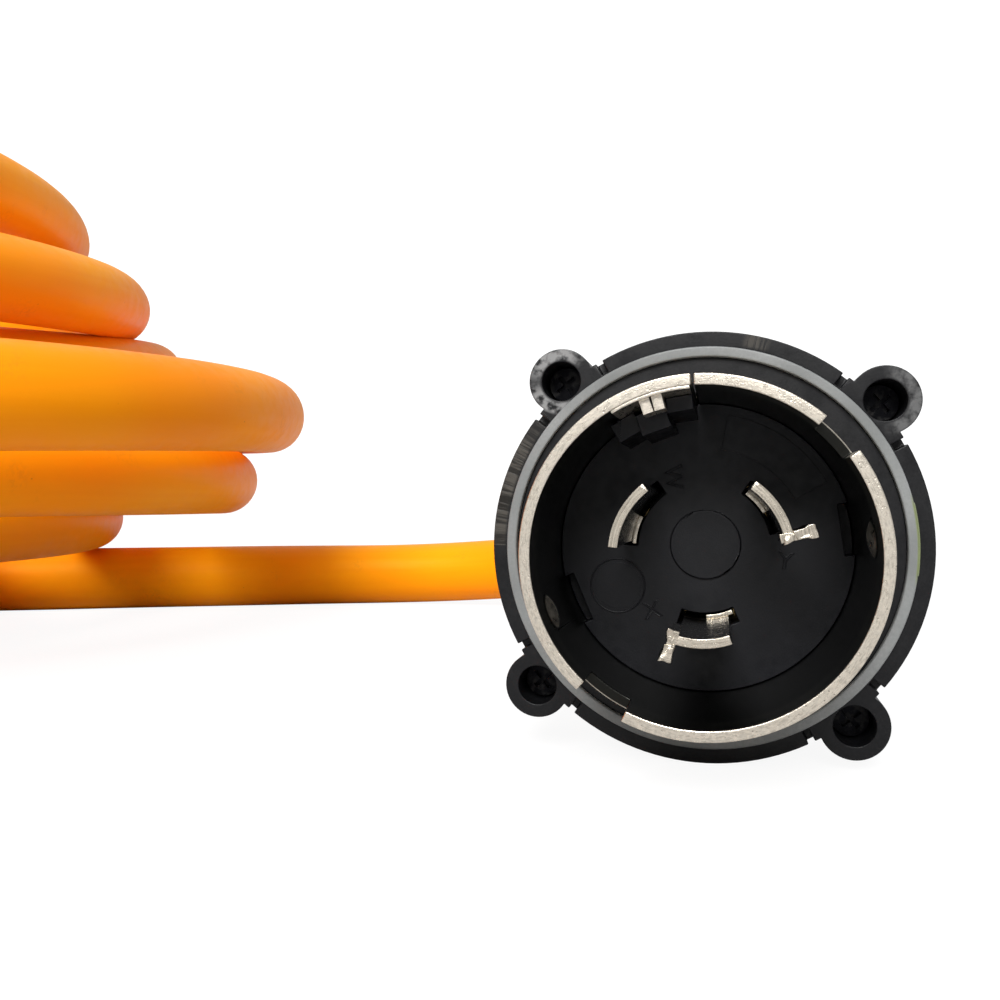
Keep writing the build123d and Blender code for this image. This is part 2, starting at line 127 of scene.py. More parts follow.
def coil_points():
    """Control points of the coil, a little outside its line so that the spline keeps its radius."""
    gain = 1 / math.cos(math.pi / POINTS_A_TURN)
    end = TURN_STARTS + 360 * (len(TURNS) - 1)
    count = round((end - COIL_START) / 360 * POINTS_A_TURN)
    points = []
    for i in range(count + 1):
        angle = COIL_START + (end - COIL_START) * i / count
        turn = min(int((angle - TURN_STARTS) // 360), len(TURNS) - 2)
        past = angle - TURN_STARTS - 360 * turn
        part = smooth(min(past / CHANGE_OVER, 1))
        x, y, radius, height, rise = (a + (b - a) * part for a, b in zip(TURNS[turn], TURNS[turn + 1]))
        a = math.radians(angle)
        r = radius * gain
        points.append((x + r * math.cos(a), y + r * math.sin(a), height + rise * math.sin(a)))
    return points


def spline_weights(count):
    """How much each control point counts at samples along the spline, one row for each sample."""
    rows = []
    for first in range(count - 2):
        for k in range(SAMPLES_A_POINT):
            t = (k + 0.5) / SAMPLES_A_POINT
            row = np.zeros(count)
            row[first:first + 3] = 0.5 * (1 - t) ** 2, 0.5 + t - t * t, 0.5 * t * t
            rows.append(row)
    return np.array(rows)


def in_view(points):
    """Whether each point is to the right of the camera's left edge, seen from above."""
    half = math.atan(camera_data.sensor_width / 2 / camera_data.lens)
    edge = CAMERA_YAW + half
    across = (points[:, 0] - camera.location.x) * math.cos(edge)
    return across + (points[:, 1] - camera.location.y) * math.sin(edge) > -JACKET_R


def settled(points):
    """The route with its turns lifted and lowered until none cuts into another, smoothly and on the floor."""
    base = np.array(points)
    weights = spline_weights(len(base))
    share = weights.T / weights.sum(axis=0)[:, None]
    runs = np.linalg.norm(np.diff(base, axis=0), axis=1)
    along = weights @ np.concatenate([[0], np.cumsum(runs)])
    above = along[:, None] - along[None, :] > OWN_STRETCH
    free = np.ones(len(base))
    free[:3] = free[-4:] = 0  # both ends stay in line with the plug and the connector
    keep = np.where(in_view(base), KEEP_SEEN, KEEP_UNSEEN)
    lift = np.zeros(len(base))
    for _ in range(SETTLE_STEPS):
        x, y, z = (weights @ (base + np.outer(lift, (0, 0, 1)))).T
        apart = (x[:, None] - x[None, :]) ** 2 + (y[:, None] - y[None, :]) ** 2
        need = np.sqrt(np.maximum(CLEARANCE**2 - apart, 0))
        lack = np.where(above & (need > 0), need - (z[:, None] - z[None, :]), 0).clip(min=0)
        lift += share @ (lack.max(axis=1) - lack.max(axis=0)) / 2 * free
        mean = np.convolve(lift, (0.25, 0.5, 0.25), "same")
        lift += SMOOTHING * (mean - lift) * free
        lift *= keep
        lift = np.maximum(lift, JACKET_R - base[:, 2])
    return base + np.outer(lift, (0, 0, 1))


def cord_line():
    """Points along the cord, read from one NURBS spline through the whole route."""
    route = settled(list(LEAD_ROUTE) + coil_points() + list(TAIL_ROUTE))
    data = bpy.data.curves.new("route", "CURVE")
    data.dimensions = "3D"
    data.resolution_u = 12
    spline = data.splines.new("NURBS")
    spline.points.add(len(route) - 1)
    for point, place in zip(spline.points, route):
        point.co = (*place, 1)
    spline.order_u = 3
    spline.use_endpoint_u = True
    curve = bpy.data.objects.new("route", data)
    line = bpy.data.meshes.new_from_object(curve)
    points = [vertex.co.copy() for vertex in line.vertices]
    bpy.data.objects.remove(curve)
    bpy.data.meshes.remove(line)
    return points


# ---- cord -----------------------------------------------------------------------------------------------

JACKET_SIDES = 40
CORE_LAY = 0.42  # one twist of the four conductors, in metres
LOBE_HEIGHT = 0.004  # share of the radius
SWAY_HEIGHT = 0.012
SWAYS_A_METRE = 9


def jacket_radius(along, around):
    """The jacket's radius: four conductors show faintly through it, and it is never quite even."""
    lobes = math.cos(4 * (around - along / CORE_LAY * math.tau))
    sway = noise.noise(Vector((along * SWAYS_A_METRE, math.cos(around), math.sin(around))))
    return JACKET_R * (1 + LOBE_HEIGHT * lobes + SWAY_HEIGHT * sway)


def make_cord():
    """The jacket as one tube between the two strain reliefs, with u along it in metres and v round it."""
    line = cord_line()
    shape = bmesh.new()
    layer = shape.loops.layers.uv.new("cord")
    side = Vector((1, 0, 0))
    rings = []
    lengths = [0.0]
    for before, after in zip(line, line[1:]):
        lengths.append(lengths[-1] + (after - before).length)
    for i, middle in enumerate(line):
        ahead = (line[min(i + 1, len(line) - 1)] - line[max(i - 1, 0)]).normalized()
        side = (side - ahead * side.dot(ahead)).normalized()
        up = ahead.cross(side)
        ring = []
        for k in range(JACKET_SIDES):
            a = math.tau * k / JACKET_SIDES
            outwards = side * math.cos(a) + up * math.sin(a)
            ring.append(shape.verts.new(middle + outwards * jacket_radius(lengths[i], a)))
        rings.append(ring)
    for i, (ring, after) in enumerate(zip(rings, rings[1:])):
        for k in range(JACKET_SIDES):
            m = (k + 1) % JACKET_SIDES
            face = shape.faces.new((ring[k], ring[m], after[m], after[k]))
            face.smooth = True
            for loop, (u, v) in zip(face.loops, ((i, k), (i, k + 1), (i + 1, k + 1), (i + 1, k))):
                loop[layer].uv = (lengths[u], v / JACKET_SIDES)
    shape.faces.new(list(reversed(rings[0])))
    shape.faces.new(rings[-1])
    mesh = bpy.data.meshes.new("cord")
    shape.to_mesh(mesh)
    shape.free()
    cord = bpy.data.objects.new("cord", mesh)
    bpy.context.scene.collection.objects.link(cord)
    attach(cord, "root")
    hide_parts("cord_lead", "cord_coil", "cord_tail")
    return cord, line


cord, cord_path = make_cord()

# ---- materials ------------------------------------------------------------------------------------------

PLUG_AXIS = (0.0, 40.3)  # x and z in mm
FACE_LEVEL = -21.5  # y in mm, the flange's and the insulator's front
RIM_LEVEL = RIM_Y / MM
SHELL_INNER = 26.9  # radius in mm
BLADE_TOP = -48.5  # y in mm
STRAP_REACH = 0.9  # how far a strap stands out of the face, in mm
EAR_CIRCLE = 41.6  # radius in mm of the circle that the ears stand on
RIGHT_EAR = 40.1  # angles in degrees of the two upper ears
LEFT_EAR = 130.3
GRAIN_ROUGHNESS = 0.55


class Look:
    """A procedural material: steps that end in one Principled shader, with coordinates in mm."""

    def __init__(self, name, metallic=0.0, specular=0.5, tint=(1, 1, 1)):
        self.material = bpy.data.materials.new(name)
        self.material.use_nodes = True
        self.tree = self.material.node_tree
        self.shader = self.tree.nodes["Principled BSDF"]
        self.give("Metallic", metallic)
        self.give("Specular IOR Level", specular)
        self.give("Specular Tint", (*tint, 1))
        place = self.add("TexCoord", out="Object")
        self.mm = self.scaled(place, 1 / MM)

    def give(self, socket, value):
        """Set one of the shader's sockets to a value, or link it to a step."""
        if isinstance(value, bpy.types.NodeSocket):
            self.tree.links.new(value, self.shader.inputs[socket])
        else:
            self.shader.inputs[socket].default_value = value

    def add(self, kind, *values, out=0, **settings):
        node = self.tree.nodes.new("ShaderNode" + kind)
        for key, value in settings.items():
            setattr(node, key, value)
        for socket, value in zip(node.inputs, values):
            if isinstance(value, bpy.types.NodeSocket):
                self.tree.links.new(value, socket)
            elif value is not None:
                socket.default_value = value
        return node.outputs[out]

    def math(self, operation, *values):
        return self.add("Math", *values, operation=operation)

    def scaled(self, vector, factor):
        node = self.tree.nodes.new("ShaderNodeVectorMath")
        node.operation = "SCALE"
        self.tree.links.new(vector, node.inputs[0])
        node.inputs["Scale"].default_value = factor
        return node.outputs[0]

    def span(self, value, low, high, to_low=0.0, to_high=1.0):
        """The value's place between low and high, from to_low to to_high and no further."""
        return self.add("MapRange", value, low, high, to_low, to_high)

    def grain(self, per_mm, detail=3.0, low=0.35, high=0.65, vector=None):
        """Noise with so many cells a millimetre, stretched from low and high to 0 and 1."""
        noise_out = self.add("TexNoise", vector or self.mm, None, per_mm, detail, GRAIN_ROUGHNESS)
        return self.span(noise_out, low, high)

    def cells(self, per_mm, reach):
        """Spots: 1 at the middle of each cell, and 0 past reach of a cell's width from it."""
        distance = self.add("TexVoronoi", self.mm, None, per_mm)
        return self.span(distance, 0.0, reach, 1.0, 0.0)

    def blend(self, first, second, factor):
        node = self.tree.nodes.new("ShaderNodeMix")
        node.data_type = "RGBA"
        for socket, value in ((node.inputs[0], factor), (node.inputs[6], first), (node.inputs[7], second)):
            if isinstance(value, bpy.types.NodeSocket):
                self.tree.links.new(value, socket)
            else:
                socket.default_value = value if isinstance(value, float) else (*value, 1)
        return node.outputs[2]

    def parts(self):
        node = self.tree.nodes.new("ShaderNodeSeparateXYZ")
        self.tree.links.new(self.mm, node.inputs[0])
        return node.outputs

    def around(self, centre):
        """Radius in mm and angle in degrees about an axis along y at centre (x, z), and the level y."""
        x, y, z = self.parts()
        dx = self.math("SUBTRACT", x, centre[0])
        dz = self.math("SUBTRACT", z, centre[1])
        squares = self.math("ADD", self.math("MULTIPLY", dx, dx), self.math("MULTIPLY", dz, dz))
        angle = self.math("MULTIPLY", self.math("ARCTAN2", dz, dx), 180 / math.pi)
        return self.math("SQRT", squares), angle, y

    def vector(self, x, y, z):
        return self.add("CombineXYZ", x, y, z)

    def bump(self, height, depth_mm, strength):
        node = self.tree.nodes.new("ShaderNodeBump")
        node.inputs["Strength"].default_value = strength
        node.inputs["Distance"].default_value = depth_mm * MM
        self.tree.links.new(height, node.inputs["Height"])
        self.give("Normal", node.outputs[0])


def nickel_shell():
    """Rolled and plated steel: bright and pitted on the rim, with painted shade on its inner wall and in the
    notches, and a painted highlight on the inner wall's upper right.
    """
    look = Look("nickel_shell", metallic=1.0)
    radius, angle, level = look.around(PLUG_AXIS)
    mottle = look.grain(0.8, 6.0, 0.40, 0.66)
    fine = look.grain(3.6, 4.0, 0.46, 0.76)
    pits = look.math("MULTIPLY", look.cells(1.3, 0.22), look.grain(0.6, 2.0, 0.47, 0.6))
    rolled = look.grain(0.5, 3.0, 0.48, 0.66, look.vector(look.math("MULTIPLY", radius, 9.0), angle, level))
    colour = look.blend((0.80, 0.73, 0.62), (0.58, 0.53, 0.455), mottle)
    colour = look.blend(colour, (0.44, 0.40, 0.34), look.math("MULTIPLY", fine, 0.38))
    colour = look.blend(colour, (0.30, 0.27, 0.225), look.math("MULTIPLY", rolled, 0.45))
    colour = look.blend(colour, (0.06, 0.05, 0.04), pits)
    bore = look.math("MULTIPLY", look.span(radius, SHELL_INNER - 0.3, SHELL_INNER - 0.1),
                     look.span(radius, SHELL_INNER + 0.25, SHELL_INNER + 0.05))
    bore = look.math("MULTIPLY", bore, look.span(level, RIM_LEVEL + 0.1, RIM_LEVEL + 0.5))
    # The notches in the shell's floor, which get the darkest painted shade.
    sunk = look.math("MULTIPLY", look.span(radius, SHELL_INNER + 1.8, SHELL_INNER + 1.6),
                     look.span(radius, SHELL_INNER - 0.3, SHELL_INNER - 0.1))
    sunk = look.math("MULTIPLY", sunk, look.span(level, RIM_LEVEL + 5.0, RIM_LEVEL + 7.0))
    inside = look.math("MAXIMUM", bore, sunk)
    # The inner wall's upper right gets a painted highlight over the painted shade.
    upper = look.span(look.math("ABSOLUTE", look.math("SUBTRACT", angle, 42.0)), 48.0, 6.0)
    # Painted shade: the inner wall's metal is made dark, as if in shadow.
    painted_wall_shade = look.blend((0.040, 0.040, 0.034), (0.075, 0.075, 0.062), look.grain(0.1, 2.0, 0.4, 0.65))
    painted_wall_shade = look.blend(painted_wall_shade, (0.26, 0.265, 0.215), look.math("MULTIPLY", upper, 0.75))
    # Painted shade in the notches, darker still than the wall.
    painted_wall_shade = look.blend(painted_wall_shade, (0.020, 0.020, 0.018), sunk)
    look.give("Base Color", look.blend(colour, painted_wall_shade, inside))
    rough = look.span(mottle, 0.0, 1.0, 0.27, 0.42)
    over = look.math("MULTIPLY", inside, look.math("SUBTRACT", rough, 0.3))
    look.give("Roughness", look.math("SUBTRACT", rough, over))
    height = look.math("SUBTRACT", look.math("MULTIPLY", fine, 0.3), pits)
    look.bump(look.math("MULTIPLY", height, look.span(inside, 0.0, 0.6, 1.0, 0.0)), 0.05, 0.8)
    return look.material


def blade_metal():
    """Plated blades: bright on their ends, with painted shade on their sides, which face the black cup."""
    look = Look("blade_metal", metallic=1.0)
    radius, angle, level = look.around(PLUG_AXIS)
    lines_at = look.vector(look.math("MULTIPLY", radius, 7.0), look.math("MULTIPLY", angle, 0.05), level)
    lines = look.grain(0.9, 3.0, 0.42, 0.62, lines_at)
    mottle = look.grain(1.4, 5.0, 0.40, 0.66)
    pits = look.math("MULTIPLY", look.cells(2.6, 0.25), look.grain(1.1, 2.0, 0.5, 0.6))
    colour = look.blend((0.74, 0.67, 0.56), (0.50, 0.455, 0.38), mottle)
    colour = look.blend(colour, (0.28, 0.25, 0.205), look.math("MULTIPLY", lines, 0.6))
    colour = look.blend(colour, (0.06, 0.05, 0.04), pits)
    # Painted shade on the blades' sides behind their bright ends; a thin band at the straps' tops is left
    # out.
    shaded_sides = look.span(level, BLADE_TOP + 0.15, BLADE_TOP + 0.6)
    strap_top = look.math("ABSOLUTE", look.math("SUBTRACT", level, FACE_LEVEL - STRAP_REACH))
    shaded_sides = look.math("MULTIPLY", shaded_sides, look.span(strap_top, 0.12, 0.2))
    look.give("Base Color", look.blend(colour, (0.045, 0.045, 0.043), look.math("MULTIPLY", shaded_sides, 0.95)))
    rough = look.span(mottle, 0.0, 1.0, 0.24, 0.40)
    look.give("Roughness", look.math("SUBTRACT", rough, look.math("MULTIPLY", shaded_sides, 0.12)))
    look.bump(look.math("SUBTRACT", look.math("MULTIPLY", lines, -0.4), pits), 0.04, 0.7)
    return look.material


def black_insulator():
    """The face's smooth black plastic, with a little pale dust."""
    look = Look("black_insulator", specular=0.26)
    flow = look.grain(0.05, 3.0, 0.35, 0.7)
    dust = look.math("MULTIPLY", look.cells(1.1, 0.09), look.grain(0.25, 2.0, 0.52, 0.62))
    colour = look.blend((0.0030, 0.0031, 0.0042), (0.0065, 0.0067, 0.0088), flow)
    look.give("Base Color", look.blend(colour, (0.06, 0.06, 0.062), look.math("MULTIPLY", dust, 0.5)))
    look.give("Roughness", look.span(look.grain(0.5, 4.0), 0.0, 1.0, 0.36, 0.5))
    look.bump(look.grain(3.0, 3.0), 0.012, 0.5)
    return look.material


def black_nylon():
    """The flange's black plastic, with worn streaks on its rim, and scuffs with a painted sheen on the two
    upper ears.
    """
    look = Look("black_nylon", specular=0.24)
    radius, angle, level = look.around(PLUG_AXIS)
    fine = look.grain(2.4, 4.0)
    streak_at = look.vector(look.math("MULTIPLY", angle, 0.9), look.math("MULTIPLY", radius, 0.10), level)
    streaks = look.grain(1.0, 4.0, 0.46, 0.60, streak_at)
    edge = look.math("MULTIPLY", look.span(radius, 37.6, 38.2), look.span(radius, 43.0, 42.0))
    left = look.math("MULTIPLY", look.span(angle, 138.0, 152.0), edge)
    left = look.math("MULTIPLY", left, look.span(level, FACE_LEVEL + 8.0, FACE_LEVEL + 6.0))
    few = look.span(look.math("ABSOLUTE", look.math("SUBTRACT", angle, 76.0)), 4.0, 2.0)
    front = look.math("MULTIPLY", few, edge)
    front = look.math("MULTIPLY", front, look.span(level, FACE_LEVEL + 1.5, FACE_LEVEL + 0.5))
    worn = look.math("MULTIPLY", streaks, look.math("MAXIMUM", left, look.math("MULTIPLY", front, 0.8)))
    colour = look.blend((0.0032, 0.0033, 0.004), (0.006, 0.006, 0.007), fine)
    colour = look.blend(colour, (0.016, 0.0135, 0.0105), look.math("MULTIPLY", left, 0.7))
    colour = look.blend(colour, (0.075, 0.068, 0.058), look.math("MULTIPLY", worn, 0.7))
    # Scuffs with a painted sheen, as from light falling from above, on the two upper ears' fronts.
    scuffs_and_sheen = look.math("MULTIPLY", ear_scuff_and_sheen(look, LEFT_EAR, 110.0, 1.0), look.grain(0.55, 5.0, 0.38, 0.56))
    other = look.math("MULTIPLY", ear_scuff_and_sheen(look, RIGHT_EAR, 20.0, 0.45), look.grain(0.45, 5.0, 0.42, 0.62))
    scuffs_and_sheen = look.math("MAXIMUM", scuffs_and_sheen, other)
    look.give("Base Color", look.blend(colour, (0.21, 0.21, 0.21), scuffs_and_sheen))
    rough = look.span(look.grain(0.3, 4.0), 0.0, 1.0, 0.33, 0.5)
    look.give("Roughness", look.math("ADD", rough, look.math("MULTIPLY", worn, 0.2)))
    height = look.math("ADD", look.math("MULTIPLY", fine, 0.25), look.math("MULTIPLY", worn, 1.0))
    look.bump(height, 0.05, 0.6)
    return look.material


def ear_scuff_and_sheen(look, ear, towards, amount):
    """Scuffs with a painted sheen on an ear's front, round the angles towards and minus towards, in degrees.
    """
    x = EAR_CIRCLE * math.cos(math.radians(ear))
    z = EAR_CIRCLE * math.sin(math.radians(ear))
    radius, angle, level = look.around((PLUG_AXIS[0] + x, PLUG_AXIS[1] + z))
    off = look.math("ABSOLUTE", look.math("SUBTRACT", look.math("ABSOLUTE", angle), towards))
    side = look.span(off, 75.0, 40.0)
    band = look.math("MULTIPLY", look.span(radius, 3.9, 4.3), look.span(radius, 6.6, 5.9))
    front = look.span(level, FACE_LEVEL + 2.5, FACE_LEVEL + 1.0)
    return look.math("MULTIPLY", look.math("MULTIPLY", side, band), look.math("MULTIPLY", front, amount))


def grey_gasket():
    """The grey sealing ring, with its sliver of yellow-green flash on the right."""
    look = Look("grey_gasket", specular=0.35)
    radius, angle, _ = look.around(PLUG_AXIS)
    soft = look.grain(0.06, 2.0, 0.35, 0.65)
    fine = look.grain(2.0, 4.0)
    colour = look.blend((0.155, 0.162, 0.160), (0.225, 0.232, 0.230), soft)
    colour = look.blend(colour, (0.13, 0.135, 0.135), look.math("MULTIPLY", fine, 0.3))
    flash = look.span(look.math("ABSOLUTE", look.math("SUBTRACT", angle, 3.0)), 13.0, 9.0)
    flash = look.math("MULTIPLY", flash, look.span(radius, 36.9, 37.1))
    look.give("Base Color", look.blend(colour, (0.16, 0.19, 0.07), look.math("MULTIPLY", flash, 0.8)))
    look.give("Roughness", look.span(fine, 0.0, 1.0, 0.36, 0.5))
    look.bump(look.grain(0.5, 5.0), 0.03, 0.4)
    return look.material


def screw_steel():
    """Steel made nearly black as painted shade for the deep ear holes, worn grey in places."""
    look = Look("screw_steel", metallic=1.0)
    worn = look.grain(0.7, 4.0, 0.5, 0.75)
    # Nearly black: painted shade for the deep ear holes where the screws sit.
    look.give("Base Color", look.blend((0.006, 0.006, 0.007), (0.028, 0.027, 0.026), worn))
    look.give("Roughness", look.span(worn, 0.0, 1.0, 0.34, 0.52))
    look.bump(look.grain(3.5, 4.0), 0.02, 0.5)
    return look.material


def terminal_brass():
    """Brass with brown stains."""
    look = Look("terminal_brass", metallic=1.0)
    stain = look.grain(0.35, 5.0, 0.42, 0.66)
    look.give("Base Color", look.blend((0.80, 0.58, 0.26), (0.45, 0.28, 0.12), stain))
    look.give("Roughness", look.span(stain, 0.0, 1.0, 0.22, 0.45))
    look.bump(look.grain(2.5, 4.0), 0.02, 0.5)
    return look.material


def black_rubber():
    """Dull rubber with a pale bloom."""
    look = Look("black_rubber", specular=0.25)
    bloom = look.grain(0.12, 5.0, 0.42, 0.7)
    fine = look.grain(2.8, 4.0)
    colour = look.blend((0.010, 0.010, 0.011), (0.028, 0.027, 0.026), bloom)
    look.give("Base Color", look.blend(colour, (0.006, 0.006, 0.006), look.math("MULTIPLY", fine, 0.5)))
    look.give("Roughness", look.span(bloom, 0.0, 1.0, 0.52, 0.72))
    look.bump(fine, 0.03, 0.5)
    return look.material


def orange_jacket():
    """Thermoplastic jacket: streaks along it from the extruder, dark specks, rubbed spots and soft dents."""
    look = Look("orange_jacket", specular=0.2, tint=(1.0, 0.60, 0.16))
    uv = look.tree.nodes.new("ShaderNodeUVMap")
    uv.uv_map = "cord"
    split = look.tree.nodes.new("ShaderNodeSeparateXYZ")
    look.tree.links.new(uv.outputs[0], split.inputs[0])
    along = look.math("MULTIPLY", split.outputs[0], 1 / MM)
    turn = look.math("MULTIPLY", split.outputs[1], math.tau)
    over = look.math("MULTIPLY", look.math("COSINE", turn), JACKET_R / MM)
    aside = look.math("MULTIPLY", look.math("SINE", turn), JACKET_R / MM)
    drawn = look.vector(look.math("MULTIPLY", along, 0.035), over, aside)
    streaks = look.grain(0.42, 4.0, 0.38, 0.66, drawn)
    tone = look.grain(0.009, 2.0, 0.38, 0.62)
    colour = look.blend((0.95, 0.270, 0.003), (0.97, 0.355, 0.004), tone)
    colour = look.blend(colour, (0.88, 0.225, 0.002), look.math("MULTIPLY", streaks, 0.16))
    specks = look.math("MULTIPLY", look.cells(0.16, 0.05), look.grain(0.02, 2.0, 0.5, 0.6))
    rubbed = look.math("MULTIPLY", look.grain(0.06, 6.0, 0.58, 0.74), look.grain(0.9, 4.0, 0.45, 0.6))
    colour = look.blend(colour, (0.42, 0.15, 0.02), look.math("MULTIPLY", rubbed, 0.22))
    look.give("Base Color", look.blend(colour, (0.30, 0.10, 0.01), look.math("MULTIPLY", specks, 0.7)))
    look.give("Roughness", look.span(look.grain(0.25, 4.0), 0.0, 1.0, 0.36, 0.48))
    dents = look.grain(0.022, 2.0, 0.2, 0.8)
    skin = look.grain(1.6, 3.0)
    height = look.math("ADD", dents, look.math("MULTIPLY", skin, 0.02))
    look.bump(look.math("ADD", height, look.math("MULTIPLY", streaks, 0.02)), 0.5, 0.6)
    return look.material


def wire(name, colour, deeper):
    """A conductor's coloured insulation."""
    look = Look(name, specular=0.4)
    look.give("Base Color", look.blend(colour, deeper, look.grain(0.3, 4.0, 0.4, 0.65)))
    look.give("Roughness", look.span(look.grain(1.2, 3.0), 0.0, 1.0, 0.33, 0.48))
    look.bump(look.grain(0.8, 4.0), 0.03, 0.4)
    return look.material


LOOKS = {
    "nickel_shell": nickel_shell(),
    "blade_metal": blade_metal(),
    "black_insulator": black_insulator(),
    "black_nylon": black_nylon(),
    "grey_gasket": grey_gasket(),
    "screw_steel": screw_steel(),
    "terminal_brass": terminal_brass(),
    "black_rubber": black_rubber(),
    "orange_jacket": orange_jacket(),
    "wire_black": wire("wire_black", (0.018, 0.018, 0.019), (0.010, 0.010, 0.010)),
    "wire_red": wire("wire_red", (0.52, 0.018, 0.015), (0.36, 0.010, 0.010)),
    "wire_white": wire("wire_white", (0.78, 0.77, 0.73), (0.64, 0.62, 0.57)),
    "wire_green": wire("wire_green", (0.015, 0.24, 0.05), (0.01, 0.15, 0.03)),
}
SLOTS = {part["node"]: part["material_slot"] for part in frame["record"]["subparts"]}

for name, slot in SLOTS.items():
    nodes[name].data.materials.clear()
    nodes[name].data.materials.append(LOOKS[slot])
cord.data.materials.append(LOOKS["orange_jacket"])

# ---- rounded pieces -------------------------------------------------------------------------------------

# Rigid pieces whose moulded or rolled edges show, and the width of those edges in millimetres.
EDGES = {
    "ground_shell": 0.22, "ground_clip": 0.08, "face_insulator": 0.18, "gasket_ring": 0.35,
    "front_flange": 0.22, "blade_w": 0.14, "blade_x": 0.14, "blade_y": 0.14, "strap_w": 0.1,
    "strap_x": 0.1, "strap_y": 0.1, "rear_housing": 0.5, "clamp_upper": 0.4, "clamp_lower": 0.4,
    "strain_relief": 0.35,
    "connector_core": 0.3, "connector_sleeve": 0.35, "connector_seal": 0.4, "locking_ring": 0.45,
    "connector_housing": 0.5, "connector_clamp_upper": 0.4, "connector_clamp_lower": 0.4,
    "connector_strain_relief": 0.35,
}
EDGE_ANGLE = math.radians(35)  # a sharper bend than this is an edge
WELD_MM = 0.002


def new_piece(name, mesh, slot, body="root"):
    mesh.materials.append(LOOKS[slot])
    piece = bpy.data.objects.new(name, mesh)
    bpy.context.scene.collection.objects.link(piece)
    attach(piece, body)
    return piece


def soften(piece, width_mm):
    """Round the piece's edges, and keep the shading of its flat faces flat."""
    bevel = piece.modifiers.new("edges", "BEVEL")
    bevel.width = width_mm * MM
    bevel.segments = 3
    bevel.limit_method = "ANGLE"
    bevel.angle_limit = EDGE_ANGLE
    bevel.use_clamp_overlap = False
    bevel.miter_outer = "MITER_ARC"
    flat = piece.modifiers.new("flat", "WEIGHTED_NORMAL")
    flat.mode = "FACE_AREA"
    flat.weight = 100


def rounded(node, width):
    """A copy of a CAD piece with rounded edges, which stands for it."""
    shape = bmesh.new()
    shape.from_mesh(nodes[node].data)
    bmesh.ops.remove_doubles(shape, verts=shape.verts, dist=WELD_MM * MM)
    for face in shape.faces:
        face.smooth = True
    mesh = bpy.data.meshes.new(node + "_rounded")
    shape.to_mesh(mesh)
    shape.free()
    piece = new_piece(node + "_rounded", mesh, SLOTS[node], "ring" if node == "locking_ring" else "root")
    soften(piece, width)
    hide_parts(node)
    return piece


rounded_pieces = {node: rounded(node, width) for node, width in EDGES.items()}

on_cord = sorted(name for name in nodes if name.startswith("connector_"))
on_cord += ["strain_relief", "cord_stub", "locking_ring"]

# ---- moulded marks on the plug's face -------------------------------------------------------------------

# All in millimetres and degrees, from the plug's axis.

# Terminal letters, which name the poles: letter, x, z and tilt.
POLE_LETTERS = (("W", -5.6, 13.1, -84.0), ("Y", 14.6, -2.4, -8.0), ("X", -9.5, -12.0, 14.0))
LETTER_SIZE = 4.3
LETTER_LINE = 0.13
SUNK = 0.05  # how deep a plate goes into the face
PAD = (18.6, 25.0, 29.0, 80.0, 0.3)  # inner and outer radius, first and last angle, height
ROUND_PAD = (-16.0, -7.4, 5.1)  # x, z and radius
ROUND_RIDGE = 0.18
ROUND_PAD_MARGIN = 0.7  # from the ridge's middle to the plate inside it
ROUND_PAD_HEIGHT = 0.07
RIDGE_STEPS = 96
RIDGE_SIDES = 8

# The rough ends of the blades' hooks, each in an inner and an outer half: blade, angle, radius, length
# outwards, width and number, which is odd for an inner half.
HOOK_ENDS = (
    ("y", 12.4, 13.9, 1.7, 1.9, 1), ("y", 13.6, 16.6, 3.2, 1.9, 2),
    ("x", 250.4, 13.6, 1.8, 1.8, 3), ("x", 251.6, 16.4, 3.1, 1.8, 4),
)
INNER_HALF = (1.0, -0.45, 0.35)  # width at its start, the width's change outwards, and skew
OUTER_HALF = (0.8, 0.35, -0.25)
HOOK_DEPTH = 2.2  # along y
HOOK_MIDDLE = BLADE_TOP + 0.85
HOOK_CUTS = 5
HOOK_GRAIN = 0.9  # lumps a millimetre
HOOK_ROUGHNESS = 0.34

# The sliver of flash on the sealing ring: radius, thickness, first and last angle, height over the face.
FLASH = (37.35, 0.13, -7.0, 13.0, 1.1)


def on_face(x, z, lift=0.0):
    return Vector((x + PLUG_AXIS[0], FACE_LEVEL - lift, z + PLUG_AXIS[1])) * MM


def pole_letter(letter, x, z, tilt):
    """A letter in outline, raised on the face."""
    data = bpy.data.curves.new("pole_" + letter.lower(), "FONT")
    data.body = letter
    data.size = LETTER_SIZE * MM
    data.align_x = "CENTER"
    data.align_y = "CENTER"
    data.fill_mode = "NONE"
    data.bevel_depth = LETTER_LINE * MM
    data.bevel_resolution = 2
    text = bpy.data.objects.new("text", data)
    mesh = bpy.data.meshes.new_from_object(text)
    bpy.data.objects.remove(text)
    stand = Matrix.Rotation(math.radians(90), 4, "X") @ Matrix.Rotation(math.radians(tilt), 4, "Z")
    mesh.transform(Matrix.Translation(on_face(x, z)) @ stand)
    for face in mesh.polygons:
        face.use_smooth = True
    new_piece("pole_letter_" + letter.lower(), mesh, "black_insulator")


def slab_piece(name, outline, height, slot, edge):
    """A flat plate on the face, from an outline of points (x, z) in mm that runs anticlockwise."""
    shape = bmesh.new()
    low = [shape.verts.new(on_face(x, z, -SUNK)) for x, z in outline]
    high = [shape.verts.new(on_face(x, z, height)) for x, z in outline]
    shape.faces.new(low)
    shape.faces.new(list(reversed(high)))
    for i in range(len(outline)):
        k = (i + 1) % len(outline)
        shape.faces.new((low[k], low[i], high[i], high[k]))
    bmesh.ops.recalc_face_normals(shape, faces=shape.faces)
    mesh = bpy.data.meshes.new(name)
    shape.to_mesh(mesh)
    shape.free()
    for face in mesh.polygons:
        face.use_smooth = True
    soften(new_piece(name, mesh, slot), edge)


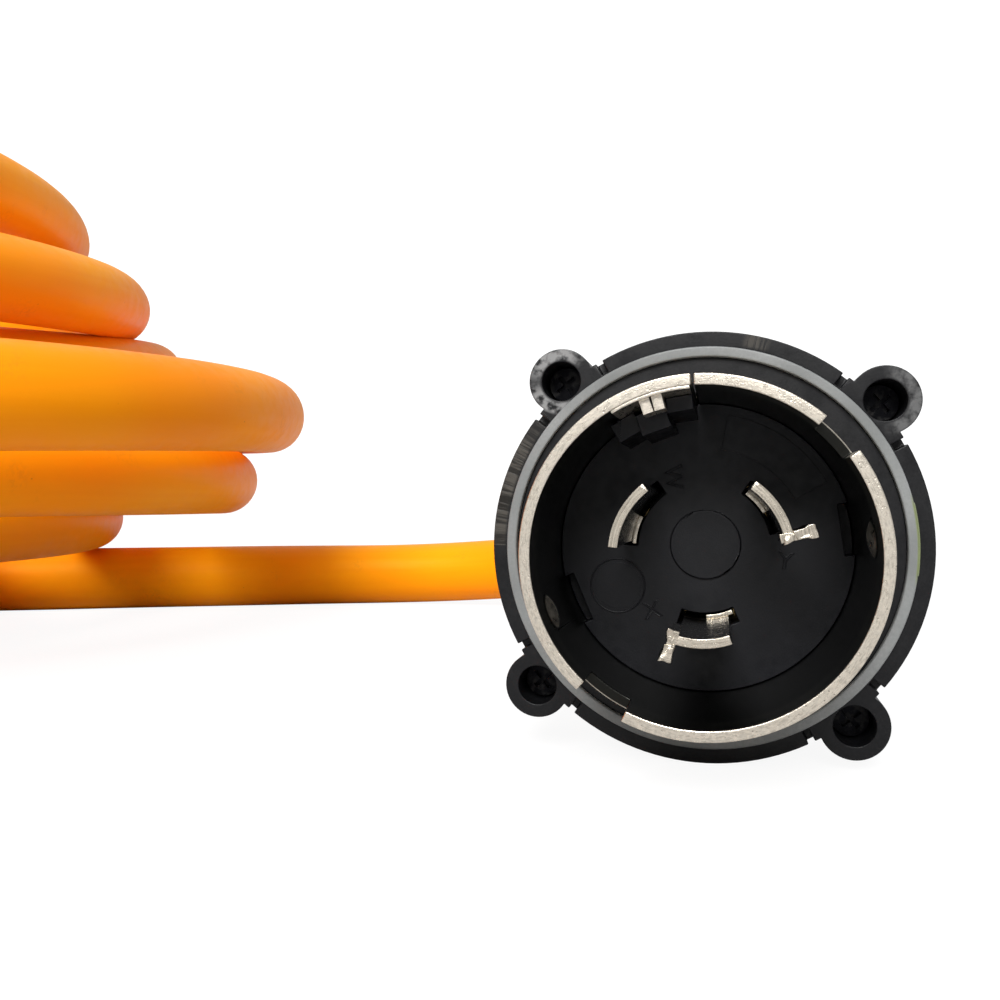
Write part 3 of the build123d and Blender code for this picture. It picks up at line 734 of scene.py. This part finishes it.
def hook_end(name, angle, radius, long, wide, number):
    """One half of a blade's upset hook: a rough block on its front, long outwards and wide across, in mm."""
    start, change, skew = INNER_HALF if number % 2 else OUTER_HALF
    shape = bmesh.new()
    bmesh.ops.create_cube(shape, size=1.0)
    bmesh.ops.subdivide_edges(shape, edges=shape.edges, cuts=HOOK_CUTS, use_grid_fill=True)
    turn = math.radians(angle)
    outwards = Vector((math.cos(turn), 0, math.sin(turn)))
    across = Vector((-math.sin(turn), 0, math.cos(turn)))
    middle = Vector((PLUG_AXIS[0], HOOK_MIDDLE, PLUG_AXIS[1])) + outwards * radius
    for vertex in shape.verts:
        u, v, w = vertex.co
        width = start + change * (u + 0.5)
        point = middle + outwards * (u + skew * v * 0.5) * long + across * v * wide * width
        point += Vector((0, w * HOOK_DEPTH, 0))
        places = [point * HOOK_GRAIN + Vector((number * 7.0, i * 3.1, 0)) for i in range(3)]
        rough = Vector([noise.noise(place) for place in places])
        vertex.co = (point + rough * HOOK_ROUGHNESS) * MM
    bmesh.ops.recalc_face_normals(shape, faces=shape.faces)
    mesh = bpy.data.meshes.new(name)
    shape.to_mesh(mesh)
    shape.free()
    for face in mesh.polygons:
        face.use_smooth = True
    soften(new_piece(name, mesh, "blade_metal"), 0.12)


def arc_points(x, z, radius, first, last, count):
    angles = [math.radians(first + (last - first) * i / count) for i in range(count + 1)]
    return [(x + radius * math.cos(a), z + radius * math.sin(a)) for a in angles]


def ridge(name, x, z, radius, thick, first=0.0, last=360.0, lift=0.0, slot="black_insulator"):
    """A thin ring or arc on the face, half buried where it isn't lifted."""
    closed = last - first >= 360
    shape = bmesh.new()
    rings = []
    for i in range(RIDGE_STEPS + (0 if closed else 1)):
        a = math.radians(first + (last - first) * i / RIDGE_STEPS)
        ring = []
        for k in range(RIDGE_SIDES):
            b = math.tau * k / RIDGE_SIDES
            r = radius + thick * math.cos(b)
            place = on_face(x + r * math.cos(a), z + r * math.sin(a), lift + thick * math.sin(b))
            ring.append(shape.verts.new(place))
        rings.append(ring)
    for i in range(RIDGE_STEPS):
        ring = rings[i]
        after = rings[(i + 1) % len(rings)]
        for k in range(RIDGE_SIDES):
            m = (k + 1) % RIDGE_SIDES
            shape.faces.new((ring[k], ring[m], after[m], after[k])).smooth = True
    if not closed:
        shape.faces.new(rings[0])
        shape.faces.new(list(reversed(rings[-1])))
    bmesh.ops.recalc_face_normals(shape, faces=shape.faces)
    mesh = bpy.data.meshes.new(name)
    shape.to_mesh(mesh)
    shape.free()
    new_piece(name, mesh, slot)


for mark in POLE_LETTERS:
    pole_letter(*mark)
inner_r, outer_r, first, last, pad_height = PAD
pad_outline = arc_points(0, 0, outer_r, first, last, 30) + arc_points(0, 0, inner_r, last, first, 24)
slab_piece("face_pad", pad_outline, pad_height, "black_insulator", 0.08)
pad_x, pad_z, pad_r = ROUND_PAD
ridge("face_round_ridge", pad_x, pad_z, pad_r, ROUND_RIDGE)
pad_outline = arc_points(pad_x, pad_z, pad_r - ROUND_PAD_MARGIN, 0, 355, 71)
slab_piece("face_round_pad", pad_outline, ROUND_PAD_HEIGHT, "black_insulator", 0.04)
for blade, angle, radius, long, wide, number in HOOK_ENDS:
    hook_end(f"blade_{blade}_hook_{number}", angle, radius, long, wide, number)
ridge("gasket_flash", 0, 0, *FLASH, "grey_gasket")

# ---- studio ---------------------------------------------------------------------------------------------

SHOWN_WHITE = 1.15  # strength of the white that the camera sees
WORLD_BEHIND = 0.56  # strength of the world's light behind the camera, and ahead of it
WORLD_AHEAD = 0.8
FLOOR_HALF = 12.0
FLOOR_COLOUR = (0.6, 0.6, 0.6, 1)
FLOOR_GLOW = 0.8  # share of plain white in what the camera sees of the floor, over its shadows
KEY_TOWARDS = (0.02, 1.0, -0.78)
KEY_STRENGTH = 4.0
KEY_SPREAD = math.radians(30)


def make_floor():
    mesh = bpy.data.meshes.new("floor")
    corners = [(x * FLOOR_HALF, y * FLOOR_HALF, 0) for x, y in ((-1, -1), (1, -1), (1, 1), (-1, 1))]
    mesh.from_pydata(corners, [], [(0, 1, 2, 3)])
    floor = bpy.data.objects.new("floor", mesh)
    bpy.context.scene.collection.objects.link(floor)
    white = bpy.data.materials.new("floor_white")
    white.use_nodes = True
    shader = white.node_tree.nodes["Principled BSDF"]
    shader.inputs["Base Color"].default_value = FLOOR_COLOUR
    shader.inputs["Roughness"].default_value = 0.95
    shader.inputs["Specular IOR Level"].default_value = 0.0
    glow = white.node_tree.nodes.new("ShaderNodeEmission")
    glow.inputs["Strength"].default_value = SHOWN_WHITE
    ray = white.node_tree.nodes.new("ShaderNodeLightPath")
    amount = white.node_tree.nodes.new("ShaderNodeMath")
    amount.operation = "MULTIPLY"
    amount.inputs[1].default_value = FLOOR_GLOW
    mix = white.node_tree.nodes.new("ShaderNodeMixShader")
    white.node_tree.links.new(ray.outputs["Is Camera Ray"], amount.inputs[0])
    white.node_tree.links.new(amount.outputs[0], mix.inputs[0])
    white.node_tree.links.new(shader.outputs[0], mix.inputs[1])
    white.node_tree.links.new(glow.outputs[0], mix.inputs[2])
    white.node_tree.links.new(mix.outputs[0], white.node_tree.nodes["Material Output"].inputs["Surface"])
    mesh.materials.append(white)


def make_world():
    """White where the camera sees it; as light, brighter ahead of the camera than behind it."""
    world = bpy.data.worlds.new("world")
    world.use_nodes = True
    tree = world.node_tree
    shown = tree.nodes["Background"]
    shown.inputs["Color"].default_value = (1, 1, 1, 1)
    shown.inputs["Strength"].default_value = SHOWN_WHITE
    lit = tree.nodes.new("ShaderNodeBackground")
    where = tree.nodes.new("ShaderNodeTexCoord")
    split = tree.nodes.new("ShaderNodeSeparateXYZ")
    tree.links.new(where.outputs["Generated"], split.inputs[0])
    front = tree.nodes.new("ShaderNodeMapRange")
    tree.links.new(split.outputs["Y"], front.inputs["Value"])
    front.inputs["From Min"].default_value = -0.9
    front.inputs["From Max"].default_value = 0.5
    front.inputs["To Min"].default_value = WORLD_BEHIND
    front.inputs["To Max"].default_value = WORLD_AHEAD
    tree.links.new(front.outputs[0], lit.inputs["Strength"])
    ray = tree.nodes.new("ShaderNodeLightPath")
    mix = tree.nodes.new("ShaderNodeMixShader")
    tree.links.new(ray.outputs["Is Camera Ray"], mix.inputs[0])
    tree.links.new(lit.outputs[0], mix.inputs[1])
    tree.links.new(shown.outputs[0], mix.inputs[2])
    tree.links.new(mix.outputs[0], tree.nodes["World Output"].inputs["Surface"])
    bpy.context.scene.world = world


def make_key_light():
    data = bpy.data.lights.new("key", "SUN")
    data.energy = KEY_STRENGTH
    data.angle = KEY_SPREAD
    light = bpy.data.objects.new("key", data)
    light.rotation_euler = Vector(KEY_TOWARDS).to_track_quat("-Z", "Y").to_euler()
    bpy.context.scene.collection.objects.link(light)


make_floor()
make_world()
make_key_light()
bpy.context.scene.view_settings.view_transform = "Standard"
